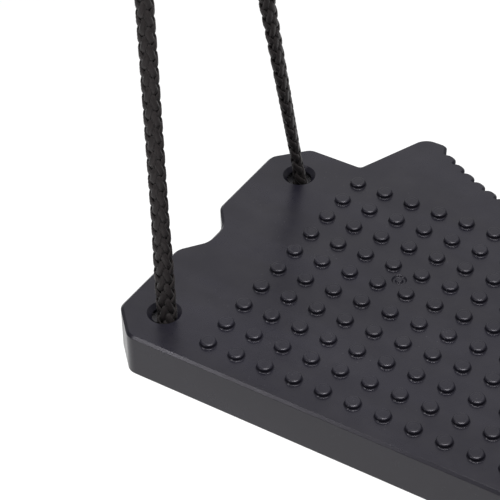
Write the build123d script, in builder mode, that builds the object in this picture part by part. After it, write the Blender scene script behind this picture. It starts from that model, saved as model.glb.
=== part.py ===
from build123d import *
from math import asin, atan2, cos, hypot, pi, radians, sin, tan
import os

# A swing platform that hangs on two rope bridles. The platform is a moulded tray with a studded
# top and ribs underneath. Each bridle is one rope: both of its ends go down through the platform
# and stop in a knot, and its middle lies over a thimble on a spring snap hook.
#
# Frame: +X to the right end, +Y to the rear, +Z up, millimetres. The origin is the middle of the
# platform's bottom.

os.makedirs("parts", exist_ok=True)

# --- Platform, outside ---------------------------------------------------------------------
platform_length = 411.0
body_depth = 206.5
platform_thickness = 28.5
horn_reach = 47.8           # how far the two horns stand out behind the body
corner_cut_x = 18.5
corner_cut_y = 19.5
corner_radius = 9.0
rim_chamfer = 1.6

notch_depth = 12.2          # the hand notch in each end
notch_mouth = 47.5
notch_floor = 16.0
notch_mouth_radius = 10.0
notch_floor_radius = 13.0

horn_root_x = 151.0         # horn outline, from the middle of the platform
horn_shoulder_x = 130.4
horn_inner_x = 114.3
horn_shoulder_radius = 12.0
horn_inner_radius = 3.8
horn_root_radius = 2.0

bay_radius = 198.0          # the curved bay between the horns
bay_half_angle = 34.0
flank_rise = 8.4            # first tooth root to the horn's tip
tooth_count = 22
tooth_height = 3.3
tooth_tip_radius = 6.0

# --- Platform, inside ----------------------------------------------------------------------
skin = 5.0
wall = 3.6
rib = 3.0
rib_pitch_x = 68.0
rib_rows = 3
chamber_clearance = 2.1     # between each knot and its round chamber
chamber_wall = 3.0

# --- Studs and moulding marks ----------------------------------------------------------------
stud_pitch = 19.05
stud_columns = 16
stud_rows = 10
stud_front_margin = 18.1    # front edge to the first row
stud_radius = 4.75
stud_height = 2.6
stud_edge = 1.15
stud_skirt = 0.55
stud_root = 1.0             # sunk into the skin
gate_mark_x = 76.5
gate_mark_radius = 4.6
gate_mark_nub_radius = 1.7
gate_mark_depth = 1.0
gate_mark_taper = 40.0

# --- Rope, knots and holes -------------------------------------------------------------------
rope_diameter = 9.5
hole_inset = 26.0           # hole centre to the platform's end
hole_spread = 151.6         # front hole to rear hole
hole_clearance = 2.85       # between rope and hole, all round
countersink = 2.7
knot_radius = 13.4
knot_top_round = 3.4
knot_bottom_round = 8.5
knot_floor_gap = 2.0        # under the knot, to the platform's bottom

# --- Hanging point -------------------------------------------------------------------------
hang_height = 484.0         # thimble centre over the platform's top
hang_outset = 52.5          # thimble centre outboard of the holes
hang_y = -12.9              # over the platform's centre of mass

# --- Thimble and snap hook -------------------------------------------------------------------
thimble_rope_radius = 18.0  # to the middle of the rope
thimble_bore_radius = 6.6
thimble_lip = 1.85          # each side of the groove
thimble_land = 0.8          # straight part of the bore, each side of its middle
groove_clearance = 0.4
hook_length = 80.0
hook_wire = 8.0
lower_bow_radius = 14.0     # to the middle of the wire
upper_bow_radius = 11.0
seat_gap = 0.5              # thimble to wire
tongue_thickness = 3.0
tongue_width = 5.0
tongue_gap = 0.2
tongue_edge_gap = 0.4
rivet_radius = 1.5
rivet_clearance = 0.06
rivet_head_radius = 2.3
rivet_head_height = 0.9
rivet_head_round = 0.6
rivet_head_gap = 0.05
pivot_shoulder = 4.0        # end of the full wire, up the gate side
nose_shoulder = 3.0         # end of the full wire, down the gate side
gate_end_gap = 0.5
nose_tongue_length = 5.6
spring_bore_radius = 1.8
spring_bore_length = 13.0
spring_wire_radius = 0.25
spring_side_gap = 0.15
spring_end_gap = 0.5
spring_turns = 8

# --- Places worked out from the sizes --------------------------------------------------------
half_length = platform_length / 2
front_y = -(body_depth + horn_reach) / 2
back_y = front_y + body_depth
tip_y = back_y + horn_reach
mid_y = front_y + body_depth / 2
rope_radius = rope_diameter / 2
hole_radius = rope_radius + hole_clearance
hole_x = half_length - hole_inset
chamber_radius = knot_radius + chamber_clearance
groove_radius = rope_radius + groove_clearance
thimble_width = 2 * (groove_radius + thimble_lip)
thimble_flare = thimble_width / 2 - thimble_land
wire_radius = hook_wire / 2
skin_under = platform_thickness - skin


# --- Platform --------------------------------------------------------------------------------
first_root = (bay_radius * sin(radians(bay_half_angle)), -bay_radius * cos(radians(bay_half_angle)))
bay_centre_y = tip_y - flank_rise - first_root[1]
tooth_step = 2 * bay_half_angle / tooth_count
tooth_centre_radius = bay_radius - tooth_height + tooth_tip_radius


def corners(sketch, x, y):
    """The sketch's two mirrored corners at x and -x."""
    return [v for v in sketch.vertices() if abs(abs(v.X) - x) < 0.01 and abs(v.Y - y) < 0.01]


with BuildSketch() as plain_outline:
    with BuildLine():
        Polyline(
            (0, front_y),
            (half_length - corner_cut_x, front_y),
            (half_length, front_y + corner_cut_y),
            (half_length, mid_y - notch_mouth / 2),
            (half_length - notch_depth, mid_y - notch_floor / 2),
            (half_length - notch_depth, mid_y + notch_floor / 2),
            (half_length, mid_y + notch_mouth / 2),
            (half_length, back_y - corner_cut_y),
            (half_length - corner_cut_x, back_y),
            (horn_root_x, back_y),
            (horn_shoulder_x, tip_y),
            (0, tip_y),
        )
        mirror(about=Plane.YZ)
    make_face()
    with BuildLine():
        bay_right = (first_root[0], bay_centre_y + first_root[1])
        bay_left = (-first_root[0], bay_centre_y + first_root[1])
        Polyline(bay_right, (horn_inner_x, tip_y), (-horn_inner_x, tip_y), bay_left)
        ThreePointArc(bay_left, (0, bay_centre_y - bay_radius), bay_right)
    make_face(mode=Mode.SUBTRACT)
    for y in (front_y, back_y):
        fillet(corners(plain_outline, half_length - corner_cut_x, y), corner_radius)
    for y in (front_y + corner_cut_y, back_y - corner_cut_y):
        fillet(corners(plain_outline, half_length, y), corner_radius)
    for turn in (-1, 1):
        fillet(corners(plain_outline, half_length, mid_y + turn * notch_mouth / 2), notch_mouth_radius)
        floor_corner = corners(plain_outline, half_length - notch_depth, mid_y + turn * notch_floor / 2)
        fillet(floor_corner, notch_floor_radius)
    fillet(corners(plain_outline, horn_root_x, back_y), horn_root_radius)
    fillet(corners(plain_outline, horn_shoulder_x, tip_y), horn_shoulder_radius)
    fillet(corners(plain_outline, horn_inner_x, tip_y), horn_inner_radius)

with BuildSketch() as toothed_outline:
    add(plain_outline.sketch)
    for tooth in range(tooth_count):
        angle = radians(-bay_half_angle + (tooth + 0.5) * tooth_step)
        tooth_x = tooth_centre_radius * sin(angle)
        tooth_y = bay_centre_y - tooth_centre_radius * cos(angle)
        with Locations((tooth_x, tooth_y)):
            Circle(tooth_tip_radius)

# the hollow underneath: the outline less its wall, the ribs and the walls of the knot chambers
hole_places = [(x, mid_y + y) for x in (-hole_x, hole_x) for y in (-hole_spread / 2, hole_spread / 2)]
rib_columns = int((half_length - wall) // rib_pitch_x)
with BuildSketch() as hollow:
    add(plain_outline.sketch)
    offset(amount=-wall, kind=Kind.INTERSECTION, mode=Mode.REPLACE)
    for column in range(-rib_columns, rib_columns + 1):
        with Locations((column * rib_pitch_x, 0)):
            Rectangle(rib, 2 * platform_length, mode=Mode.SUBTRACT)
    for row in range(1, rib_rows + 1):
        with Locations((0, front_y + row * body_depth / rib_rows)):
            Rectangle(2 * platform_length, rib, mode=Mode.SUBTRACT)
    with Locations(*hole_places):
        Circle(chamber_radius + chamber_wall, mode=Mode.SUBTRACT)
        Circle(chamber_radius)

stud_mid_y = front_y + stud_front_margin + (stud_rows - 1) * stud_pitch / 2
gate_mark_y = stud_mid_y + stud_pitch

with BuildPart() as platform:
    add(toothed_outline.sketch)
    extrude(amount=platform_thickness)
    rim_edges = platform.faces().sort_by(Axis.Z)[-1].outer_wire().edges()
    chamfer(rim_edges, rim_chamfer)
    extrude(hollow.sketch, amount=skin_under, mode=Mode.SUBTRACT)
    with Locations(*[(x, y, platform_thickness) for x, y in hole_places]):
        CounterSinkHole(hole_radius, hole_radius + countersink, counter_sink_angle=90)
    with BuildSketch(Plane.XY.offset(platform_thickness)):
        with Locations((-gate_mark_x, gate_mark_y), (gate_mark_x, gate_mark_y)):
            Circle(gate_mark_radius)
            Circle(gate_mark_nub_radius, mode=Mode.SUBTRACT)
    extrude(amount=-gate_mark_depth, taper=gate_mark_taper, mode=Mode.SUBTRACT)

with BuildPart() as stud:
    with BuildSketch(Plane.XZ):
        with BuildLine():
            Polyline(
                (0, -stud_root),
                (stud_radius + stud_skirt, -stud_root),
                (stud_radius + stud_skirt, 0),
                (stud_radius, stud_skirt),
                (stud_radius, stud_height - stud_edge),
            )
            edge_start = (stud_radius, stud_height - stud_edge)
            edge_end = (stud_radius - stud_edge, stud_height)
            RadiusArc(edge_start, edge_end, -stud_edge)
            Polyline(edge_end, (0, stud_height), (0, -stud_root))
        make_face()
    revolve(axis=Axis.Z)

with platform:
    with Locations((0, stud_mid_y, platform_thickness)):
        with GridLocations(stud_pitch, stud_pitch, stud_columns, stud_rows):
            add(stud.part)

platform.part.label = "platform"
export_step(platform.part, "parts/platform.step")


# --- Bridles ---------------------------------------------------------------------------------
# The middle line of the right-hand rope, from the front knot over the thimble to the rear knot.
# The left-hand rope is its mirror image.
rope_route = [
    (178.5, -100.8, 20.4),
    (233.3, -29.4, 524.3),
    (234.2, -12.5, 532.7),
    (233.2, 4.1, 523.6),
    (178.5, 52.7, 20.4),
]


def bend_radii(points):
    """The largest tangent arc that each inner corner of the route has room for."""
    radii = []
    for before, here, after in zip(points, points[1:], points[2:]):
        run_in = Vector(*here) - Vector(*before)
        run_out = Vector(*after) - Vector(*here)
        half_turn = radians(run_in.get_angle(run_out)) / 2
        radii.append(0.45 * min(run_in.length, run_out.length) / tan(half_turn))
    return radii


rope_radii = bend_radii(rope_route)
print("rope bend radii", [round(radius, 1) for radius in rope_radii])

# each hanging plane holds both ends of a bridle and its thimble, and leans outwards
hang_slant = hypot(hang_height, hang_outset)
lean = atan2(hang_outset, hang_height)
seat_offset = thimble_bore_radius - wire_radius - seat_gap
bow_spacing = hook_length - lower_bow_radius - upper_bow_radius - hook_wire
side_tilt = asin((lower_bow_radius - upper_bow_radius) / bow_spacing)
side_length = bow_spacing * cos(side_tilt)
rivet_place = pivot_shoulder + gate_end_gap + wire_radius
nose_place = side_length - nose_shoulder
gate_low = rivet_place - wire_radius
gate_high = nose_place - gate_end_gap
tongue_radius = wire_radius - tongue_edge_gap
slot_width = tongue_thickness + 2 * tongue_gap
spring_low = rivet_place + tongue_radius + gate_end_gap
spring_radius = spring_bore_radius - spring_wire_radius - spring_side_gap
rivet_head_face = wire_radius + rivet_head_gap

for side_name, side in (("left", -1), ("right", 1)):
    across = Vector(side * cos(lean), 0, -sin(lean))
    up = Vector(side * sin(lean), 0, cos(lean))
    foot = Vector(side * hole_x, hang_y, platform_thickness)
    thimble_centre = foot + up * hang_slant
    bow_centre = thimble_centre + up * (seat_offset + lower_bow_radius)

    # rope, from knot to knot
    with BuildPart() as rope:
        with BuildLine():
            rope_path = FilletPolyline(*[(side * x, y, z) for x, y, z in rope_route], radius=rope_radii)
        with BuildSketch(Plane(origin=rope_path @ 0, z_dir=rope_path % 0)):
            Circle(rope_radius)
        sweep()
    rope.part.label = side_name + "_rope"
    export_step(rope.part, "parts/" + side_name + "_rope.step")
    tube_volume = rope_path.length * pi * rope_radius**2
    print(side_name, "rope length", round(rope_path.length, 1))
    print("  volume over section times length", round(rope.part.volume / tube_volume, 4))

    # stopper knots, tight under the platform's skin
    for end_name, end in (("front", -1), ("rear", 1)):
        with BuildPart() as knot:
            knot_plane = Plane(
                origin=(side * hole_x, mid_y + end * hole_spread / 2, knot_floor_gap),
                z_dir=(0, 0, 1),
            )
            with BuildSketch(knot_plane):
                Circle(knot_radius)
            extrude(amount=skin_under - knot_floor_gap)
            fillet(knot.edges().sort_by(Axis.Z)[-1], knot_top_round)
            fillet(knot.edges().sort_by(Axis.Z)[0], knot_bottom_round)
        knot_name = side_name + "_" + end_name + "_knot"
        knot.part.label = knot_name
        export_step(knot.part, "parts/" + knot_name + ".step")

    # thimble: a grooved ring that the rope lies round and the hook passes through
    with BuildPart() as thimble:
        ring_plane = Plane(origin=thimble_centre, x_dir=across, z_dir=across.cross(up))
        with BuildSketch(ring_plane) as ring_section:
            with Locations((0, (thimble_bore_radius + thimble_rope_radius) / 2)):
                Rectangle(thimble_width, thimble_rope_radius - thimble_bore_radius)
            fillet(ring_section.vertices().group_by(Axis.Y)[0], thimble_flare)
            with Locations((0, thimble_rope_radius)):
                Circle(groove_radius, mode=Mode.SUBTRACT)
        revolve(axis=Axis(thimble_centre, across))
    thimble.part.label = side_name + "_thimble"
    export_step(thimble.part, "parts/" + side_name + "_thimble.step")

    # snap hook body: one bent wire, open on its outboard side, with a flat tongue at each end
    hook_plane = Plane(origin=bow_centre, x_dir=across, z_dir=across.cross(up))
    along = (-sin(side_tilt), cos(side_tilt))
    outward = (cos(side_tilt), sin(side_tilt))

    def on_side(distance, offset=0.0):
        """A point of the gate side: so far up from the lower bow, and so far outwards."""
        reach = lower_bow_radius + offset
        return (
            outward[0] * reach + along[0] * distance,
            outward[1] * reach + along[1] * distance,
        )

    lower_end = on_side(0)
    upper_end = on_side(side_length)
    with BuildPart() as hook:
        with BuildLine(hook_plane) as wire_line:
            Line(on_side(pivot_shoulder), lower_end)
            ThreePointArc(lower_end, (0, -lower_bow_radius), (-lower_end[0], lower_end[1]))
            Line((-lower_end[0], lower_end[1]), (-upper_end[0], upper_end[1]))
            ThreePointArc((-upper_end[0], upper_end[1]), (0, bow_spacing + upper_bow_radius), upper_end)
            Line(upper_end, on_side(nose_place))
        with BuildSketch(Plane(origin=wire_line.line @ 0, z_dir=wire_line.line % 0)):
            Circle(wire_radius)
        sweep()
        with BuildSketch(hook_plane):
            with BuildLine():
                Polyline(
                    on_side(pivot_shoulder - 1, -tongue_radius),
                    on_side(pivot_shoulder - 1, tongue_radius),
                    on_side(rivet_place, tongue_radius),
                    on_side(rivet_place, -tongue_radius),
                    close=True,
                )
            make_face()
            with Locations(on_side(rivet_place)):
                Circle(tongue_radius)
                Circle(rivet_radius, mode=Mode.SUBTRACT)
            with BuildLine():
                Polyline(
                    on_side(nose_place + 1, -tongue_width / 2),
                    on_side(nose_place + 1, tongue_width / 2),
                    on_side(nose_place - nose_tongue_length, tongue_width / 2),
                    on_side(nose_place - nose_tongue_length, -tongue_width / 2),
                    close=True,
                )
            make_face()
        extrude(amount=tongue_thickness / 2, both=True)
    hook.part.label = side_name + "_hook_body"
    export_step(hook.part, "parts/" + side_name + "_hook_body.step")

    # gate: a bar slotted over both tongues, with a blind bore for its spring
    def side_plane(distance):
        """The plane across the gate side at this distance up from the lower bow."""
        origin = hook_plane.from_local_coords(Vector(*on_side(distance), 0))
        x_dir = hook_plane.from_local_coords(Vector(*on_side(distance, 1), 0)) - origin
        z_dir = hook_plane.from_local_coords(Vector(*on_side(distance + 1), 0)) - origin
        return Plane(origin=origin, x_dir=x_dir, z_dir=z_dir)

    with BuildPart() as gate:
        with BuildSketch(side_plane(gate_low)):
            Circle(wire_radius)
        extrude(amount=gate_high - gate_low)
        with BuildSketch(hook_plane):
            with BuildLine():
                Polyline(
                    on_side(gate_low - 1, -hook_wire),
                    on_side(gate_low - 1, hook_wire),
                    on_side(spring_low, hook_wire),
                    on_side(spring_low, -hook_wire),
                    close=True,
                )
            make_face()
            with BuildLine():
                Polyline(
                    on_side(gate_high + 1, -tongue_width / 2 - tongue_gap),
                    on_side(gate_high + 1, hook_wire),
                    on_side(nose_place - nose_tongue_length - gate_end_gap, hook_wire),
                    on_side(nose_place - nose_tongue_length - gate_end_gap, -tongue_width / 2 - tongue_gap),
                    close=True,
                )
            make_face()
        extrude(amount=slot_width / 2, both=True, mode=Mode.SUBTRACT)
        with BuildSketch(hook_plane):
            with BuildLine():
                Polyline(
                    on_side(gate_low - 1, -hook_wire),
                    on_side(gate_low - 1, hook_wire),
                    on_side(rivet_place, hook_wire),
                    on_side(rivet_place, -hook_wire),
                    close=True,
                )
            make_face()
            with Locations(on_side(rivet_place)):
                Circle(wire_radius, mode=Mode.SUBTRACT)
        extrude(amount=hook_wire, both=True, mode=Mode.SUBTRACT)
        with BuildSketch(hook_plane):
            with Locations(on_side(rivet_place)):
                Circle(rivet_radius + rivet_clearance)
        extrude(amount=hook_wire, both=True, mode=Mode.SUBTRACT)
        with BuildSketch(side_plane(spring_low - 1)):
            Circle(spring_bore_radius)
        extrude(amount=spring_bore_length + 1, mode=Mode.SUBTRACT)
    gate.part.label = side_name + "_gate"
    export_step(gate.part, "parts/" + side_name + "_gate.step")

    # gate spring, in the gate's bore
    spring_plane = side_plane(spring_low + spring_end_gap)
    spring_length = spring_bore_length - 2 * spring_end_gap
    with BuildPart() as spring:
        with BuildLine(spring_plane):
            coil = Helix(
                pitch=spring_length / spring_turns,
                height=spring_length,
                radius=spring_radius,
                direction=spring_plane.z_dir,
            )
        with BuildSketch(Plane(origin=coil @ 0, z_dir=coil % 0)):
            Circle(spring_wire_radius)
        sweep(is_frenet=True)
    spring.part.label = side_name + "_gate_spring"
    export_step(spring.part, "parts/" + side_name + "_gate_spring.step")

    # gate rivet, fast in the tongue, with a domed head on each side
    rivet_centre = hook_plane.from_local_coords(Vector(*on_side(rivet_place), 0))
    with BuildPart() as rivet:
        rivet_plane = Plane(origin=rivet_centre, x_dir=across, z_dir=(0, 1, 0))
        with BuildSketch(rivet_plane):
            Circle(rivet_radius)
        extrude(amount=rivet_head_face, both=True)
        for end in (-1, 1):
            with BuildSketch(rivet_plane.offset(end * rivet_head_face)):
                Circle(rivet_head_radius)
            extrude(amount=end * rivet_head_height)
        for outer in (0, -1):
            fillet(rivet.faces().sort_by(Axis.Y)[outer].edges(), rivet_head_round)
    rivet.part.label = side_name + "_rivet"
    export_step(rivet.part, "parts/" + side_name + "_rivet.step")
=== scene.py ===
# %% [markdown]
# # A studded swing platform on two rope bridles
#
# The platform, thimbles, snap hooks, gates, rivets and springs come from the CAD model and keep
# its shape. This lesson gives them their materials, and makes the ropes and knots as real braid.
# Everything is in metres, in the CAD model's frame: X to the right end, Y to the rear, Z up, with
# the origin in the middle of the platform's bottom.

# %% Load the frame
import math

import bpy
import numpy as np
from mathutils import Matrix, Vector


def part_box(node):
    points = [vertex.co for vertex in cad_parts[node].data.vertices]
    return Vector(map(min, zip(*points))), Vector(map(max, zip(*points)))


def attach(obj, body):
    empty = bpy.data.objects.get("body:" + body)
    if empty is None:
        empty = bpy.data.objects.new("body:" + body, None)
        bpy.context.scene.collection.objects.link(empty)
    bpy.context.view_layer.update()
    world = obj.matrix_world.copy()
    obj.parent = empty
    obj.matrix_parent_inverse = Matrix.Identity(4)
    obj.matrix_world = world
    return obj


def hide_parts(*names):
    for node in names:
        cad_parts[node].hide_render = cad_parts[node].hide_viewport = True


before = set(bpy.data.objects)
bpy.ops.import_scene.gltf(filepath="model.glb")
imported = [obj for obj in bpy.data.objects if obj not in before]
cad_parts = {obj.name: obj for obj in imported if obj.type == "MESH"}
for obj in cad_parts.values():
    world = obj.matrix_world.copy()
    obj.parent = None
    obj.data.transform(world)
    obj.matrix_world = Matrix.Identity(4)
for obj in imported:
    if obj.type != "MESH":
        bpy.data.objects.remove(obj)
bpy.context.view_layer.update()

bpy.ops.object.select_all(action="DESELECT")
sides = {"left": -1, "right": 1}
platform_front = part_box("platform")[0].y
plate_top = 0.0285
print("nodes:", ", ".join(sorted(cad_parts)))

# %% [markdown]
# ## The camera
#
# A long lens from well above the front right corner, looking down on the left half of the
# platform. A long lens keeps the studs almost the same size from front to rear, as in a catalogue
# picture. The camera is placed by the point that it looks at, its direction and its distance,
# because those are the numbers that a person would turn by hand.

# %% Camera
look_at = Vector((-0.1668, -0.0264, plate_top))
azimuth, elevation, roll = math.radians(33.06), math.radians(40.01), math.radians(-1.28)
distance = 1.228

back = Vector((
    math.sin(azimuth) * math.cos(elevation),
    -math.cos(azimuth) * math.cos(elevation),
    math.sin(elevation),
))
level = Vector((math.cos(azimuth), math.sin(azimuth), 0))
upright = back.cross(level)
right = math.cos(roll) * level + math.sin(roll) * upright
up = math.cos(roll) * upright - math.sin(roll) * level

camera = bpy.data.objects.new("camera", bpy.data.cameras.new("camera"))
bpy.context.collection.objects.link(camera)
camera.data.lens = 146.77
camera.data.sensor_width = 36
turn = Matrix((right, up, back)).transposed()
camera.matrix_world = Matrix.Translation(look_at + distance * back) @ turn.to_4x4()
bpy.context.scene.camera = camera
print("camera at", [round(x, 3) for x in camera.matrix_world.translation])

# %% [markdown]
# ## The bridles
#
# Each bridle is one length of hollow braid, about 10 mm wide, pulled tight: up from a knot under
# the platform, over the thimble, and down to the other knot. It could be a plain tube with a bump
# map, but a braid's outline is bumpy and its strands catch the light one by one, so every strand
# is modelled. The middle line is a smooth curve through the same points as the CAD rope, with one
# more point on each leg near the thimble, so that the legs stay straight until they bend.

# %% The route of the right-hand rope
rope_route = [
    (0.1785, -0.1008, 0.0204),
    (0.2272, -0.0373, 0.4682),
    (0.2333, -0.0294, 0.5243),
    (0.2342, -0.0125, 0.5327),
    (0.2332, 0.0041, 0.5236),
    (0.2271, 0.0095, 0.4673),
    (0.1785, 0.0527, 0.0204),
]
ring_step = 0.0013          # along a rope, from one ring of points to the next


def smooth_line(places, step):
    """Points every step along a smooth curve that has these places as its control points."""
    curve = bpy.data.curves.new("route", "CURVE")
    curve.dimensions = "3D"
    spline = curve.splines.new("NURBS")
    spline.points.add(len(places) - 1)
    for point, place in zip(spline.points, places):
        point.co = (*place, 1)
    spline.order_u = 3
    spline.use_endpoint_u = True
    spline.resolution_u = 48
    holder = bpy.data.objects.new("route", curve)
    mesh = bpy.data.meshes.new_from_object(holder)
    line = np.array([vertex.co for vertex in mesh.vertices])
    bpy.data.objects.remove(holder)
    bpy.data.curves.remove(curve)
    bpy.data.meshes.remove(mesh)
    along = np.append(0, np.cumsum(np.linalg.norm(np.diff(line, axis=0), axis=1)))
    even = np.linspace(0, along[-1], round(along[-1] / step) + 1)
    return np.stack([np.interp(even, along, line[:, axis]) for axis in range(3)], axis=1), even


# %% [markdown]
# ### Braid
#
# A twelve-strand hollow braid has six strands winding each way. Each goes over two strands and
# then under two, so the surface shows columns of slanted picks, leaning left and right in turn,
# which meet in V shapes. The braid is hollow and goes flat under a pull: it is wider than it is
# thick. So each strand follows a flat oval, moved outwards where it is over and inwards where it
# is under, and is a low, rounded ribbon. The columns stay in one place round the oval, and that is
# what makes the V shapes line up along the rope.

# %% Braid
strand_count = 12
lay_length = 0.060          # one whole turn of a strand round the rope
strand_width = 0.0042
strand_thickness = 0.0020
strand_lift = 0.0013        # how far a strand moves out and in from the middle layer
strand_sides = 8


def unit(vectors):
    return vectors / np.linalg.norm(vectors, axis=-1, keepdims=True)


def oval(share, wide, thin):
    """Place and outward direction on an oval, at this share of the way round it."""
    angle = np.linspace(0, 2 * np.pi, 361)
    shape = np.stack([np.mean(wide) * np.cos(angle), np.mean(thin) * np.sin(angle)], axis=1)
    round_it = np.append(0, np.cumsum(np.linalg.norm(np.diff(shape, axis=0), axis=1)))
    at = np.interp(share % 1.0, round_it / round_it[-1], angle)
    place = np.stack([wide * np.cos(at), thin * np.sin(at)], axis=-1)
    outward = unit(np.stack([np.cos(at) / wide, np.sin(at) / thin], axis=-1))
    return place, outward


def braid(name, line, along, across, half_wide, half_thin, turn):
    """A mesh of all the strands round this line. The wide face lies across it, turned by turn."""
    tangent = unit(np.gradient(line, axis=0))
    wide_way = unit(across - (tangent @ across)[:, None] * tangent)
    thin_way = np.cross(wide_way, tangent)
    c, s = np.cos(turn)[:, None], np.sin(turn)[:, None]
    wide_way, thin_way = c * wide_way + s * thin_way, c * thin_way - s * wide_way
    rim = strand_lift + strand_thickness / 2
    section = np.linspace(0, 2 * np.pi, strand_sides, endpoint=False)
    strands = []
    for strand in range(strand_count):
        way = 1 if strand % 2 else -1
        share = way * along / lay_length + strand / strand_count
        columns = np.cos(strand_count / 2 * np.pi * share)
        lift = way * strand_lift * np.tanh(2.2 * columns)
        place, outward = oval(share, half_wide - rim, half_thin - rim)
        place = place + lift[:, None] * outward
        middle = line + place[:, :1] * wide_way + place[:, 1:] * thin_way
        out = outward[:, :1] * wide_way + outward[:, 1:] * thin_way
        forward = unit(np.gradient(middle, axis=0))
        out = unit(out - (out * forward).sum(1, keepdims=True) * forward)
        sideways = np.cross(forward, out)
        ring = middle[:, None] + strand_width / 2 * np.cos(section)[:, None] * sideways[:, None]
        strands.append(ring + strand_thickness / 2 * np.sin(section)[:, None] * out[:, None])
    return strand_mesh(name, np.array(strands), along)


# %% [markdown]
# The strands' rings of points become one mesh, a closed tube for each strand. Its UV map is in
# millimetres, round the strand and along the rope, with a different start for each strand.

# %% Mesh of the strands
def strand_mesh(name, rings, along):
    """Closed tubes from rings of points, with a UV map in millimetres: round, and along."""
    count, steps, around, _ = rings.shape
    index = np.arange(count * steps * around).reshape(count, steps, around)
    here, there = index[:, :-1], index[:, 1:]
    quads = np.stack([here, there, np.roll(there, -1, 2), np.roll(here, -1, 2)], axis=-1)
    caps = [row.tolist() for row in index[:, 0]] + [row[::-1].tolist() for row in index[:, -1]]
    mesh = bpy.data.meshes.new(name)
    mesh.from_pydata(rings.reshape(-1, 3).tolist(), [], quads.reshape(-1, 4).tolist() + caps)
    section_length = 2 * (strand_width + strand_thickness) * 1000
    u = np.arange(around + 1) / around * section_length
    v = along * 1000
    corner_u = np.stack([u[:-1], u[:-1], u[1:], u[1:]], axis=-1)
    corner_v = np.stack([v[:-1], v[1:], v[1:], v[:-1]], axis=-1)
    uv = np.zeros((count, steps - 1, around, 4, 2))
    uv[..., 0] = corner_u[None, None] + 3.7 * section_length * np.arange(count)[:, None, None, None]
    uv[..., 1] = corner_v[None, :, None]
    layer = mesh.uv_layers.new(name="strand")
    cap_uv = np.zeros(2 * count * around * 2)
    layer.data.foreach_set("uv", np.append(uv.ravel(), cap_uv))
    mesh.shade_smooth()
    piece = bpy.data.objects.new(name, mesh)
    bpy.context.collection.objects.link(piece)
    print(name, "strands:", count, "faces:", len(mesh.polygons))
    return piece


# %% [markdown]
# ### Ropes
#
# Along each rope the braid changes a little. It opens up where it comes out of its hole, lies with
# its wide face to the front on the front leg, is rounder where the thimble's groove holds it, and
# on the rear leg it twists, so that near the platform its narrow edge faces forward. Each change
# is a few stations along the rope, with the values in between read off a straight line.

# %% Ropes
lean = math.atan2(0.0525, 0.484)      # the bridle's plane leans outwards


def stations(along, *pairs):
    """Values between these (distance, value) pairs, eased from one to the next."""
    distance, value = zip(*pairs)
    plain = np.interp(along, distance, value)
    window = np.hanning(25)
    padded = np.pad(plain, 12, mode="edge")
    return np.convolve(padded, window / window.sum(), mode="valid")


ropes = {}
for side_name, side in sides.items():
    places = [(side * x, y, z) for x, y, z in rope_route]
    if side_name == "left":
        # this end stands off the middle of its hole, and the leg leans out a little more
        places[0] = (-0.1767, -0.1008, 0.0204)
        places[1] = (-0.2295, -0.0388, 0.4682)
    line, along = smooth_line(places, ring_step)
    end = along[-1]
    across = np.array([side * math.cos(lean), 0, -math.sin(lean)])
    half_wide = stations(
        along, (0, 0.0062), (0.040, 0.0060), (0.070, 0.0054), (0.450, 0.0053), (0.490, 0.0046),
        (end - 0.490, 0.0046), (end - 0.450, 0.0056), (end - 0.020, 0.0054), (end, 0.0056),
    )
    half_thin = stations(
        along, (0, 0.0050), (0.012, 0.0040), (0.450, 0.0037), (0.490, 0.0036),
        (end - 0.490, 0.0036), (end - 0.450, 0.0037), (end - 0.020, 0.0036), (end, 0.0046),
    )
    turn = np.radians(stations(
        along, (0, 34), (0.25, 34), (0.45, 0), (end - 0.45, 0), (end - 0.25, -40),
        (end - 0.160, -40), (end - 0.125, -75), (end - 0.040, -105), (end, -128),
    )) * side
    rope = braid(side_name + "_rope_braid", line, along, across, half_wide, half_thin, turn)
    ropes[side_name] = rope
    print(side_name, "rope", round(end, 4), "m")

# %% [markdown]
# ### Knots
#
# Under the platform each rope end is tied in an overhand knot, pulled tight against the skin. The
# knot's middle line is three turns of a ring that dips and rises as it goes round, which is the
# way an overhand knot lies when it is tight, with the standing end coming down into its middle and
# a short tail out at the bottom. The same braid follows that line.

# %% Knots
knot_ring = 0.0054          # middle of the ring to the knot's axis
knot_swing = 0.0030         # how far the rope goes in and out
knot_rise = 0.0048          # how far it goes up and down
knot_steps = 18             # places along the tied part, 15 degrees apart


def knot_places(middle, top, bottom, mirror):
    """Places along an overhand knot's middle line, from its hole to the end of its tail."""
    def place(turn, reach, z):
        return (middle.x + mirror * reach * math.cos(turn), middle.y + reach * math.sin(turn), z)

    places = [place(0, 0, top), place(math.radians(120), 0.0008, top - 0.003)]
    for step in range(knot_steps + 1):
        t = math.radians(60 + 15 * step)
        reach = knot_ring + knot_swing * math.cos(3 * t)
        places.append(place(2 * t, reach, middle.z + knot_rise * math.sin(3 * t)))
    tail_z = bottom + 0.0046
    places.append(place(math.radians(330), 0.0074, tail_z))
    places.append(place(math.radians(365), 0.0088, tail_z))
    return places


knots = {}
for node_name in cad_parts:
    if not node_name.endswith("knot"):
        continue
    low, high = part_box(node_name)
    mirror = -1 if node_name.startswith("left") else 1
    places = knot_places((low + high) / 2, high.z, low.z, mirror)
    line, along = smooth_line(places, 0.0014)
    taper = np.interp(along, (along[-1] - 0.003, along[-1]), (1.0, 0.62))
    knots[node_name] = braid(
        node_name + "_braid", line, along, np.array([0.0, 0.0, 1.0]),
        0.0044 * taper, 0.0039 * taper, 0 * along,
    )
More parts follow.
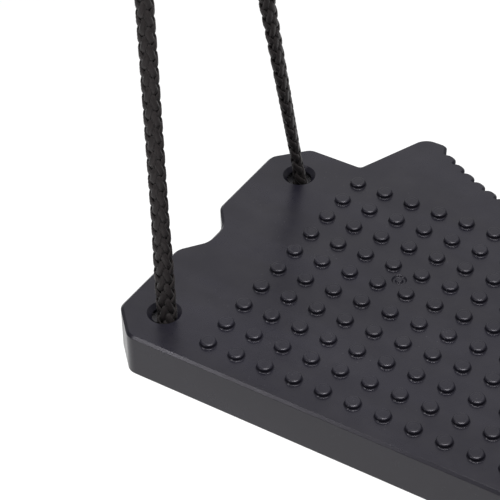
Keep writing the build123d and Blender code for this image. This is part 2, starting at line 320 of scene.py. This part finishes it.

# %% [markdown]
# ### What moves with what
#
# The ropes and knots swing with the platform, so they ride on its body, and each hides the plain
# solid that it stands for.

# %% Ride and replace
for side_name, side in sides.items():
    rope = ropes[side_name]
    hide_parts(side_name + "_rope")
    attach(rope, "swing")
    side_knots = [side_name + "_front_knot", side_name + "_rear_knot"]
    for node_name in side_knots:
        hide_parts(node_name)
        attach(knots[node_name], "swing")
    print(side_name, "rope stands for its solid, with knots", side_knots)

# %% [markdown]
# ## Materials
#
# A material here is a Principled shader whose colour, roughness and bump vary over the surface.
# Effects that several finishes share are node groups, built once, with their own inputs.

# %% Helpers for nodes


def linear(red, green, blue):
    """A screen colour, 0 to 255, as the linear colour that a shader wants."""
    def one(value):
        value /= 255
        return value / 12.92 if value <= 0.04045 else ((value + 0.055) / 1.055) ** 2.4
    return (one(red), one(green), one(blue), 1.0)


def add_node(tree, kind, inputs=(), **settings):
    """A node of this kind. Each input is a value to set or an output socket to link from."""
    node = tree.nodes.new(kind)
    for name, value in settings.items():
        setattr(node, name, value)
    for socket, value in dict(inputs).items():
        if isinstance(value, bpy.types.NodeSocket):
            tree.links.new(value, node.inputs[socket])
        else:
            node.inputs[socket].default_value = value
    return node


def math_node(tree, operation, first, second=0.0, third=0.0):
    return add_node(
        tree, "ShaderNodeMath", {0: first, 1: second, 2: third}, operation=operation
    ).outputs[0]


def spread(tree, value, low, high, to_low=0.0, to_high=1.0):
    """The value mapped from low..high to to_low..to_high, and held at the ends."""
    inputs = {
        "Value": value, "From Min": low, "From Max": high, "To Min": to_low, "To Max": to_high,
    }
    return add_node(tree, "ShaderNodeMapRange", inputs).outputs["Result"]


def blend_colours(tree, factor, first, second):
    mix = add_node(tree, "ShaderNodeMix", {0: factor, 6: first, 7: second}, data_type="RGBA")
    return mix.outputs[2]


def noise(tree, place, scale, detail=2.0, roughness=0.5):
    inputs = {"Vector": place, "Scale": scale, "Detail": detail, "Roughness": roughness}
    return add_node(tree, "ShaderNodeTexNoise", inputs).outputs["Fac"]


def object_place(tree):
    return add_node(tree, "ShaderNodeTexCoord").outputs["Object"]


def stretched(tree, place, scale, turn=(0, 0, 0)):
    return add_node(
        tree, "ShaderNodeMapping", {"Vector": place, "Scale": scale, "Rotation": turn}
    ).outputs["Vector"]


def new_group(name, inputs, output):
    """A node group with number inputs and one number output."""
    group = bpy.data.node_groups.new(name, "ShaderNodeTree")
    for input_name, default in inputs.items():
        socket = group.interface.new_socket(
            input_name, in_out="INPUT", socket_type="NodeSocketFloat"
        )
        socket.default_value = default
    group.interface.new_socket(output, in_out="OUTPUT", socket_type="NodeSocketFloat")
    start, finish = group.nodes.new("NodeGroupInput"), group.nodes.new("NodeGroupOutput")
    return group, start.outputs, finish.inputs


def use_group(tree, group, **values):
    node = tree.nodes.new("ShaderNodeGroup")
    node.node_tree = group
    for name, value in values.items():
        node.inputs[name.replace("_", " ")].default_value = value
    return node.outputs[0]


def new_material(name, **values):
    """A material and its Principled shader, with these plain values on its own sockets."""
    material = bpy.data.materials.new(name)
    material.use_nodes = True
    shader = material.node_tree.nodes["Principled BSDF"]
    for socket, value in values.items():
        shader.inputs[socket.replace("_", " ")].default_value = value
    return material, material.node_tree, shader


def set_bump(tree, shader, height, distance, strength=1.0, normal=None):
    inputs = {"Height": height, "Distance": distance, "Strength": strength}
    if normal is not None:
        inputs["Normal"] = normal
    bump = add_node(tree, "ShaderNodeBump", inputs)
    tree.links.new(bump.outputs["Normal"], shader.inputs["Normal"])


# %% [markdown]
# ### Shared effects
#
# Grain is fine mottling at two sizes. Edge wear is found with a bevel: where the rounded normal
# differs from the true one there is an edge, and noise breaks it up, because real rubbing is
# uneven. Dust lies on what faces up. Scratches are thin stretched noise, kept only where it peaks.

# %% Grain
grain_group, given, result = new_group("grain", {"Scale": 900.0, "Coarse share": 0.4}, "Grain")
tree = grain_group
place = object_place(tree)
fine = noise(tree, place, given["Scale"], 3.0, 0.6)
coarse = noise(tree, place, math_node(tree, "MULTIPLY", given["Scale"], 0.12), 2.0)
coarse = math_node(tree, "MULTIPLY", coarse, given["Coarse share"])
fine = math_node(tree, "MULTIPLY", fine, math_node(tree, "SUBTRACT", 1.0, given["Coarse share"]))
tree.links.new(math_node(tree, "ADD", fine, coarse), result["Grain"])
print("group:", grain_group.name)

# %% Edge wear
edge_group, given, result = new_group("edge wear", {"Radius": 0.0008, "Breakup": 300.0}, "Edge")
tree = edge_group
rounded = add_node(tree, "ShaderNodeBevel", {"Radius": given["Radius"]}, samples=4)
true_normal = add_node(tree, "ShaderNodeNewGeometry").outputs["Normal"]
same = add_node(
    tree, "ShaderNodeVectorMath", {0: rounded.outputs["Normal"], 1: true_normal},
    operation="DOT_PRODUCT",
).outputs["Value"]
edge = spread(tree, same, 0.995, 0.80)
broken = noise(tree, object_place(tree), given["Breakup"], 3.0)
broken = spread(tree, broken, 0.35, 0.65, 0.35, 1.0)
tree.links.new(math_node(tree, "MULTIPLY", edge, broken), result["Edge"])
print("group:", edge_group.name)

# %% Dust
dust_group, given, result = new_group("dust", {"Scale": 60.0}, "Dust")
tree = dust_group
faces = add_node(tree, "ShaderNodeNewGeometry").outputs["Normal"]
facing_up = add_node(tree, "ShaderNodeSeparateXYZ", {0: faces}).outputs["Z"]
patches = spread(tree, noise(tree, object_place(tree), given["Scale"], 4.0, 0.6), 0.4, 0.75)
dust = math_node(tree, "MULTIPLY", spread(tree, facing_up, 0.5, 1.0), patches)
tree.links.new(dust, result["Dust"])
print("group:", dust_group.name)

# %% Scratches
scratch_group, given, result = new_group("scratches", {"Scale": 60.0, "Stretch": 12.0}, "Scratches")
tree = scratch_group
place = object_place(tree)
stretch = add_node(
    tree, "ShaderNodeCombineXYZ", {"X": given["Stretch"], "Y": given["Stretch"], "Z": 1.0}
)
long_way = add_node(
    tree, "ShaderNodeVectorMath", {0: place, 1: stretch.outputs[0]}, operation="MULTIPLY"
).outputs["Vector"]
lines = noise(tree, long_way, given["Scale"], 4.0, 0.7)
tree.links.new(spread(tree, lines, 0.56, 0.66), result["Scratches"])
print("effect groups:", ", ".join(group.name for group in bpy.data.node_groups))

# %% [markdown]
# ### Moulded plastic
#
# Charcoal polypropylene, half matt. Plastic that flows round studs in a mould leaves faint streaks
# and specks, a little lighter and glossier than the rest. They come from noise that is stretched
# along one slanting direction, and from small Voronoi dots kept only in rare patches.

# %% Moulded plastic
plastic, tree, shader = new_material(
    "charcoal_moulded_plastic", IOR=1.49, Specular_IOR_Level=0.42,
    Specular_Tint=(0.96, 0.93, 1.0, 1.0),
)
place = object_place(tree)
grain = use_group(tree, grain_group, Scale=1400.0, Coarse_share=0.35)
streak_place = stretched(tree, place, (9.0, 34.0, 20.0), (0, 0, math.radians(24)))
streaks = spread(tree, noise(tree, streak_place, 1.0, 4.0, 0.55), 0.42, 0.72)
speck_cells = add_node(tree, "ShaderNodeTexVoronoi", {"Vector": place, "Scale": 330.0})
speck_size = spread(tree, speck_cells.outputs["Distance"], 0.16, 0.05)
rare = spread(tree, noise(tree, place, 45.0, 2.0), 0.60, 0.64)
specks = math_node(tree, "MULTIPLY", speck_size, rare)
edges = use_group(tree, edge_group, Radius=0.0007, Breakup=260.0)
dust = use_group(tree, dust_group, Scale=42.0)

base = blend_colours(tree, streaks, linear(18, 17, 25), linear(26, 25, 34))
base = blend_colours(tree, math_node(tree, "MULTIPLY", specks, 0.35), base, linear(84, 83, 86))
base = blend_colours(tree, math_node(tree, "MULTIPLY", edges, 0.10), base, linear(64, 63, 66))
base = blend_colours(tree, math_node(tree, "MULTIPLY", dust, 0.04), base, linear(100, 98, 96))
tree.links.new(base, shader.inputs["Base Color"])
gloss = spread(tree, grain, 0.3, 0.7, 0.27, 0.35)
gloss = math_node(tree, "SUBTRACT", gloss, math_node(tree, "MULTIPLY", streaks, 0.04))
tree.links.new(gloss, shader.inputs["Roughness"])
print("colour and gloss of", plastic.name)

# %% [markdown]
# Sharp edges come out of a mould slightly rounded, which a bevelled normal gives. Each stud also
# has a faint ring in its top from its ejector sleeve. All the studs are alike and stand on a square
# grid, so one ring is enough: the place is wrapped to the nearest stud first.

# %% Stud rings and soft edges
stud_pitch = 0.01905
stud_top = plate_top + 0.0020
first_row_y = platform_front + 0.0181
dimple_radius = 0.0027
dimple_half_width = 0.0006

to_stud = add_node(
    tree, "ShaderNodeVectorMath", {0: place, 1: (stud_pitch / 2, -first_row_y, 0)}, operation="ADD"
).outputs["Vector"]
half = stud_pitch / 2
wrapped = add_node(
    tree, "ShaderNodeVectorMath", {0: to_stud, 1: (half, half, 1), 2: (-half, -half, -1)},
    operation="WRAP",
).outputs["Vector"]
flat = add_node(
    tree, "ShaderNodeVectorMath", {0: wrapped, 1: (1, 1, 0)}, operation="MULTIPLY"
).outputs["Vector"]
from_axis = add_node(tree, "ShaderNodeVectorMath", {0: flat}, operation="LENGTH").outputs["Value"]
ring = math_node(tree, "ABSOLUTE", math_node(tree, "SUBTRACT", from_axis, dimple_radius))
ring = spread(tree, ring, 0.0, dimple_half_width)
high_enough = add_node(tree, "ShaderNodeSeparateXYZ", {0: place}).outputs["Z"]
on_stud = math_node(tree, "GREATER_THAN", high_enough, stud_top)
groove = math_node(tree, "MULTIPLY", math_node(tree, "SUBTRACT", ring, 1.0), on_stud)
height = math_node(tree, "ADD", math_node(tree, "MULTIPLY", grain, 0.25), groove)
soft_edges = add_node(tree, "ShaderNodeBevel", {"Radius": 0.0005}, samples=4).outputs["Normal"]
set_bump(tree, shader, height, 0.00008, 0.8, soft_edges)
print("stud rings every", stud_pitch * 1000, "mm")

# %% [markdown]
# ### Black rope
#
# Each strand is a bundle of fine black filaments laid side by side, with a soft sheen along them.
# The strand's own UV map is in millimetres, so noise stretched along it gives filaments of the same
# width on every strand, whichever way the strand turns. The same noise is the filaments' bump, and
# their colour goes from near black where the bump is low to dark grey where it is high, which is
# painted shade in the gaps between the filaments.

# %% Black rope
rope_black, tree, shader = new_material(
    "black_braided_rope", Sheen_Weight=0.10, Sheen_Roughness=0.4, Specular_IOR_Level=0.45,
    Specular_Tint=(1.0, 0.93, 0.93, 1.0),
)
strand_place = add_node(tree, "ShaderNodeUVMap", uv_map="strand").outputs["UV"]
filaments = noise(tree, stretched(tree, strand_place, (3.4, 0.16, 1.0)), 1.0, 3.0, 0.55)
mottle = noise(tree, stretched(tree, strand_place, (0.35, 0.09, 1.0)), 1.0, 2.0)
fuzz = use_group(tree, grain_group, Scale=2600.0, Coarse_share=0.2)
dusty = use_group(tree, dust_group, Scale=120.0)
# painted shade: the colour follows the filaments' bump height, darkest in the low gaps between them
filament_painted_shade = spread(tree, filaments, 0.35, 0.68)
colour = blend_colours(tree, filament_painted_shade, linear(6, 5, 5), linear(40, 35, 36))
faded = math_node(tree, "MULTIPLY", spread(tree, mottle, 0.5, 0.75), 0.45)
colour = blend_colours(tree, faded, colour, linear(52, 49, 49))
dusted = math_node(tree, "MULTIPLY", dusty, 0.05)
colour = blend_colours(tree, dusted, colour, linear(110, 106, 102))
tree.links.new(colour, shader.inputs["Base Color"])
tree.links.new(spread(tree, filaments, 0.3, 0.7, 0.62, 0.42), shader.inputs["Roughness"])
strand_height = math_node(tree, "ADD", filaments, math_node(tree, "MULTIPLY", fuzz, 0.3))
set_bump(tree, shader, strand_height, 0.00022, 0.8)
print("nodes in", rope_black.name + ":", len(tree.nodes))

# %% [markdown]
# ### Steels
#
# The thimbles are hot-dip galvanised: dull grey zinc with crystal patches of differing brightness.
# The hooks, gates and rivets are bright plated, smoother, with fine scratches and rubbed edges. The
# springs are plain drawn steel wire.

# %% Steels


def steel(name, colour, worn_colour, roughness, scratch_scale, spangle=0.0):
    """A steel whose zinc patches, scratches and rubbed edges take these values."""
    material, tree, shader = new_material(name, Metallic=1.0)
    place = object_place(tree)
    grain = use_group(tree, grain_group, Scale=1800.0, Coarse_share=0.5)
    scratches = use_group(tree, scratch_group, Scale=scratch_scale, Stretch=9.0)
    edges = use_group(tree, edge_group, Radius=0.0005, Breakup=500.0)
    cells = add_node(tree, "ShaderNodeTexVoronoi", {"Vector": place, "Scale": 240.0})
    patch = add_node(tree, "ShaderNodeSeparateXYZ", {0: cells.outputs["Color"]}).outputs["X"]
    dark = tuple(0.62 * value for value in colour[:3]) + (1.0,)
    shade = blend_colours(tree, math_node(tree, "MULTIPLY", patch, spangle), colour, dark)
    shade = blend_colours(tree, math_node(tree, "MULTIPLY", grain, 0.25), shade, dark)
    shade = blend_colours(tree, math_node(tree, "MULTIPLY", edges, 0.6), shade, worn_colour)
    tree.links.new(shade, shader.inputs["Base Color"])
    rough = spread(tree, grain, 0.3, 0.7, roughness - 0.06, roughness + 0.06)
    rough = math_node(tree, "ADD", rough, math_node(tree, "MULTIPLY", patch, 0.12 * spangle))
    rough = math_node(tree, "ADD", rough, math_node(tree, "MULTIPLY", scratches, 0.08))
    tree.links.new(rough, shader.inputs["Roughness"])
    height = math_node(tree, "SUBTRACT", grain, math_node(tree, "MULTIPLY", scratches, 0.5))
    set_bump(tree, shader, height, 0.00003, 0.5)
    return material


galvanised = steel(
    "galvanised_steel", linear(158, 160, 162), linear(190, 190, 190), 0.46, 40.0, spangle=0.7
)
bright = steel("bright_plated_steel", linear(196, 198, 200), linear(222, 222, 222), 0.24, 90.0)
spring_wire = steel("spring_wire", linear(150, 150, 152), linear(190, 190, 190), 0.34, 200.0)

finishes = {"platform": plastic}
for side_name in sides:
    finishes[side_name + "_thimble"] = galvanised
    finishes[side_name + "_gate_spring"] = spring_wire
    for part_name in ("_hook_body", "_gate", "_rivet"):
        finishes[side_name + part_name] = bright
for node_name, material in finishes.items():
    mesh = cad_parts[node_name].data
    mesh.materials.clear()
    mesh.materials.append(material)
for piece in (*ropes.values(), *knots.values()):
    piece.data.materials.append(rope_black)
print("materials:", len(bpy.data.materials))

# %% [markdown]
# ## Floor and light
#
# A plain white floor well below the hanging platform, so that its shadow is soft and far away, and
# three soft lights. The strongest hangs overhead and draws the bright crescent on each stud. A wide
# weak one behind gives the top its sheen, which the ropes break with soft dark reflections, and
# leaves the front faces to mirror the floor. A small one at the front left lights the rim.

# %% Floor and light
floor_drop = 0.42
bpy.ops.mesh.primitive_plane_add(size=14, location=(0, 0, -floor_drop))
floor = bpy.context.object
floor.name = "floor"
white, tree, shader = new_material("white_floor", Roughness=0.9)
mottled = noise(tree, object_place(tree), 3.0, 2.0)
tree.links.new(
    blend_colours(tree, mottled, (0.96, 0.96, 0.96, 1), (0.98, 0.98, 0.98, 1)),
    shader.inputs["Base Color"],
)
floor.data.materials.append(white)

world = bpy.data.worlds.new("studio")
world.use_nodes = True
world.node_tree.nodes["Background"].inputs["Color"].default_value = (1, 1, 1, 1)
world.node_tree.nodes["Background"].inputs["Strength"].default_value = 0.27
bpy.context.scene.world = world
bpy.context.scene.view_settings.view_transform = "Standard"


def soft_light(name, place, target, size, power):
    """A square area light at place, facing target."""
    lamp = bpy.data.lights.new(name, "AREA")
    lamp.size = size
    lamp.energy = power
    lamp_object = bpy.data.objects.new(name, lamp)
    lamp_object.location = place
    direction = Vector(target) - Vector(place)
    lamp_object.rotation_euler = direction.to_track_quat("-Z", "Y").to_euler()
    bpy.context.collection.objects.link(lamp_object)


soft_light("rear_wall", (-1.7, 2.2, 1.7), (0, 0, 0), 3.0, 17)
soft_light("overhead", (0.2, 0.0, 2.4), (0, 0, 0), 1.3, 72)
soft_light("front_left", (-1.10, -1.55, 1.45), (-0.15, -0.1, 0), 0.35, 6)
print("lights:", len(bpy.data.lights))
